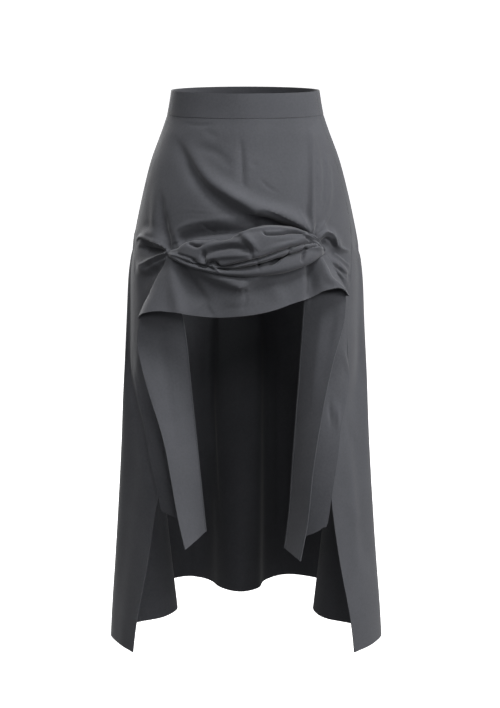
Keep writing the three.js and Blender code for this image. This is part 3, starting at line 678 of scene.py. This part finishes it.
def cloth_material(name, sizes, colours):
    """Plain-woven matte cloth with a faint nap, uneven threads and slightly paler edges."""
    material = bpy.data.materials.new(name)
    material.use_nodes = True
    tree = material.node_tree
    nodes, link = tree.nodes, tree.links.new
    shader = nodes["Principled BSDF"]
    shader.inputs["Roughness"].default_value = 0.82
    shader.inputs["Specular IOR Level"].default_value = 0.25
    shader.inputs["Sheen Weight"].default_value = 0.28
    shader.inputs["Sheen Roughness"].default_value = 0.45
    place = nodes.new("ShaderNodeTexCoord")
    thread = nodes.new("ShaderNodeAttribute")
    thread.attribute_name = "grain"
    warp = nodes.new("ShaderNodeTexWave")
    warp.bands_direction = "X"
    weft = nodes.new("ShaderNodeTexWave")
    weft.bands_direction = "Y"
    for wave in (warp, weft):
        wave.inputs["Scale"].default_value = WAVE_LENGTH / sizes.thread
        wave.inputs["Distortion"].default_value = 1.5
        wave.inputs["Detail"].default_value = 1
        link(thread.outputs["Vector"], wave.inputs["Vector"])
    weave = nodes.new("ShaderNodeMix")
    weave.data_type = "FLOAT"
    weave.inputs[0].default_value = 0.5
    link(warp.outputs["Fac"], weave.inputs[2])
    link(weft.outputs["Fac"], weave.inputs[3])
    cloud = nodes.new("ShaderNodeTexNoise")
    cloud.inputs["Scale"].default_value = 9
    cloud.inputs["Detail"].default_value = 5
    link(place.outputs["Object"], cloud.inputs["Vector"])
    mottle = nodes.new("ShaderNodeTexNoise")
    mottle.inputs["Scale"].default_value = 260
    mottle.inputs["Detail"].default_value = 3
    link(place.outputs["Object"], mottle.inputs["Vector"])
    tone = nodes.new("ShaderNodeMath")
    tone.operation = "MULTIPLY_ADD"
    tone.inputs[1].default_value = 0.35
    link(mottle.outputs["Fac"], tone.inputs[0])
    spread = nodes.new("ShaderNodeMath")
    spread.operation = "MULTIPLY"
    spread.inputs[1].default_value = 0.65
    link(cloud.outputs["Fac"], spread.inputs[0])
    link(spread.outputs[0], tone.inputs[2])
    colour = nodes.new("ShaderNodeMix")
    colour.data_type = "RGBA"
    colour.inputs[6].default_value = (*colours.slub, 1)
    colour.inputs[7].default_value = (*colours.cloth, 1)
    reach = nodes.new("ShaderNodeMapRange")
    reach.inputs["From Min"].default_value = 0.3
    reach.inputs["From Max"].default_value = 0.6
    link(tone.outputs[0], reach.inputs["Value"])
    link(reach.outputs[0], colour.inputs[0])
    link(colour.outputs[2], shader.inputs["Base Color"])
    relief = nodes.new("ShaderNodeBump")
    relief.inputs["Strength"].default_value = 0.25
    relief.inputs["Distance"].default_value = 0.0002
    link(weave.outputs[0], relief.inputs["Height"])
    soft = nodes.new("ShaderNodeBump")
    soft.inputs["Strength"].default_value = 0.12
    soft.inputs["Distance"].default_value = 0.0015
    link(cloud.outputs["Fac"], soft.inputs["Height"])
    link(relief.outputs["Normal"], soft.inputs["Normal"])
    link(soft.outputs["Normal"], shader.inputs["Normal"])
    return material


def finish_sheet(node, thickness, more=0, fine=None):
    """Make the finished cloth of one CAD node."""
    sizes = bpy.context.scene.skirt_sizes
    sheet = copy_of(node, node + "_cloth")
    mark_rims(sheet, thickness)
    smooth(sheet, sizes.levels + more)
    if fine:
        refine(sheet, *fine)
    creases = creases_of(node)
    if creases:
        press_creases(sheet, creases, sizes.crease)
    grain(sheet)
    deselect()
    sheet.select_set(True)
    bpy.context.view_layer.objects.active = sheet
    bpy.ops.object.shade_smooth_by_angle(angle=SMOOTH_BEND)
    material = bpy.data.materials.get("charcoal cloth")
    if material is None:
        material = cloth_material("charcoal cloth", sizes, bpy.context.scene.skirt_colours)
    sheet.data.materials.clear()
    sheet.data.materials.append(material)
    for modifier in list(sheet.modifiers):
        bpy.ops.object.modifier_apply(modifier=modifier.name)
    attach(sheet, "root")
    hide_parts(node)
    return sheet


class SKIRT_OT_waistband(bpy.types.Operator):
    """Make both halves of the waistband"""

    bl_idname = "skirt.waistband"
    bl_label = "Waistband"

    def execute(self, context):
        finish_sheet("waistband_front", BAND_WALL)
        finish_sheet("waistband_back", BAND_WALL)
        return {"FINISHED"}


class SKIRT_OT_front_panel(bpy.types.Operator):
    """Make the front panel with its hip folds and side portions"""

    bl_idname = "skirt.front_panel"
    bl_label = "Front panel"

    def execute(self, context):
        finish_sheet("front_panel", CLOTH_WALL, fine=GATHERS)
        return {"FINISHED"}


class SKIRT_OT_swag(bpy.types.Operator):
    """Make the swag of two rolls between the pinches"""

    bl_idname = "skirt.swag"
    bl_label = "Swag"

    def execute(self, context):
        finish_sheet("front_swag", CLOTH_WALL, more=1)
        return {"FINISHED"}


class SKIRT_OT_flounce(bpy.types.Operator):
    """Make the apron and the cascades beside it"""

    bl_idname = "skirt.flounce"
    bl_label = "Apron and cascades"

    def execute(self, context):
        finish_sheet("front_flounce", CLOTH_WALL)
        return {"FINISHED"}


class SKIRT_OT_back_panel(bpy.types.Operator):
    """Make the long fluted back panel"""

    bl_idname = "skirt.back_panel"
    bl_label = "Back panel"

    def execute(self, context):
        finish_sheet("back_panel", CLOTH_WALL)
        return {"FINISHED"}


def add_light(name, place, side, power):
    """A soft square light that shines on the middle of the skirt."""
    bpy.ops.object.light_add(type="AREA", location=place)
    lamp = bpy.context.object
    lamp.name = name
    lamp.data.size = side
    lamp.data.energy = power
    lamp.rotation_euler = (Vector(LIGHT_AIM) - Vector(place)).to_track_quat("-Z", "Y").to_euler()


def add_backdrop(floor, paint):
    """A round pale floor that bends up into its wall, out of the bounced light."""
    middle = (0, 0, floor + SWEEP_HEIGHT / 2)
    bpy.ops.mesh.primitive_cylinder_add(
        vertices=64, radius=SWEEP_RADIUS, depth=SWEEP_HEIGHT, location=middle)
    sweep = bpy.context.object
    sweep.name = "studio_floor"
    bpy.ops.object.transform_apply(location=True, rotation=True, scale=True)
    bpy.ops.object.mode_set(mode="EDIT")
    bpy.ops.mesh.select_all(action="SELECT")
    bpy.ops.mesh.flip_normals()
    bpy.ops.mesh.select_mode(type="EDGE")
    bpy.ops.mesh.select_all(action="DESELECT")
    bpy.ops.object.mode_set(mode="OBJECT")
    foot = floor + 10 * MM
    for edge in sweep.data.edges:
        edge.select = all(sweep.data.vertices[v].co.z < foot for v in edge.vertices)
    bpy.ops.object.mode_set(mode="EDIT")
    bpy.ops.mesh.bevel(offset=SWEEP_BEND, segments=24, affect="EDGES")
    bpy.ops.object.mode_set(mode="OBJECT")
    bpy.ops.object.shade_smooth()
    sweep.data.materials.append(paint)
    sweep.visible_diffuse = False
    sweep.visible_glossy = False
    sweep.visible_shadow = False


def paper_material(colour):
    """Pale paper that is evenly lit, as in the photo."""
    paint = bpy.data.materials.new("studio paper")
    paint.use_nodes = True
    paper = paint.node_tree.nodes["Principled BSDF"]
    paper.inputs["Base Color"].default_value = (*colour, 1)
    paper.inputs["Roughness"].default_value = 0.9
    paper.inputs["Emission Color"].default_value = (1, 1, 1, 1)
    paper.inputs["Emission Strength"].default_value = 0.95
    return paint


class SKIRT_OT_studio(bpy.types.Operator):
    """Set the pale floor, the soft lights and the camera"""

    bl_idname = "skirt.studio"
    bl_label = "Studio"

    def execute(self, context):
        scene = context.scene
        deselect()
        floor = CAD_BOX[0][2] - scene.skirt_sizes.floor_drop
        add_backdrop(floor, paper_material(scene.skirt_colours.studio))
        world = bpy.data.worlds.new("studio light")
        world.use_nodes = True
        world.node_tree.nodes["Background"].inputs["Color"].default_value = (1, 1, 1, 1)
        world.node_tree.nodes["Background"].inputs["Strength"].default_value = 0.15
        scene.world = world
        scene.view_settings.view_transform = "Standard"
        for light in LIGHTS:
            add_light(*light)
        bpy.ops.object.camera_add(location=CAMERA)
        camera = context.object
        camera.name = "photo_camera"
        aim = Vector(CAMERA_AIM) - camera.location
        camera.rotation_euler = aim.to_track_quat("-Z", "Y").to_euler()
        camera.data.sensor_fit = "VERTICAL"
        camera.data.sensor_height = SENSOR
        camera.data.lens = PHOTO_FOCAL / PHOTO_HEIGHT * SENSOR
        camera.data.clip_end = 100
        scene.camera = camera
        return {"FINISHED"}


class SKIRT_PT_panel(bpy.types.Panel):
    """Lists the pieces of the skirt and its studio"""

    bl_idname = "SKIRT_PT_panel"
    bl_label = "Skirt"
    bl_space_type = "VIEW_3D"
    bl_region_type = "UI"
    bl_category = "Skirt"

    def draw(self, context):
        column = self.layout.column(align=True)
        for piece in PIECES:
            column.operator(piece.bl_idname)
        for name in SkirtSizes.__annotations__:
            self.layout.prop(context.scene.skirt_sizes, name)
        for name in SkirtColours.__annotations__:
            self.layout.prop(context.scene.skirt_colours, name)


PIECES = (
    SKIRT_OT_studio,
    SKIRT_OT_waistband,
    SKIRT_OT_front_panel,
    SKIRT_OT_swag,
    SKIRT_OT_flounce,
    SKIRT_OT_back_panel,
)


def register():
    for kind in (SkirtSizes, SkirtColours, *PIECES, SKIRT_PT_panel):
        bpy.utils.register_class(kind)
    bpy.types.Scene.skirt_sizes = PointerProperty(type=SkirtSizes)
    bpy.types.Scene.skirt_colours = PointerProperty(type=SkirtColours)


def unregister():
    del bpy.types.Scene.skirt_colours
    del bpy.types.Scene.skirt_sizes
    for kind in reversed((SkirtSizes, SkirtColours, *PIECES, SKIRT_PT_panel)):
        bpy.utils.unregister_class(kind)


def main():
    register()
    bpy.ops.skirt.studio()
    bpy.ops.skirt.waistband()
    bpy.ops.skirt.front_panel()
    bpy.ops.skirt.swag()
    bpy.ops.skirt.flounce()
    bpy.ops.skirt.back_panel()


if __name__ == "__main__":
    main()
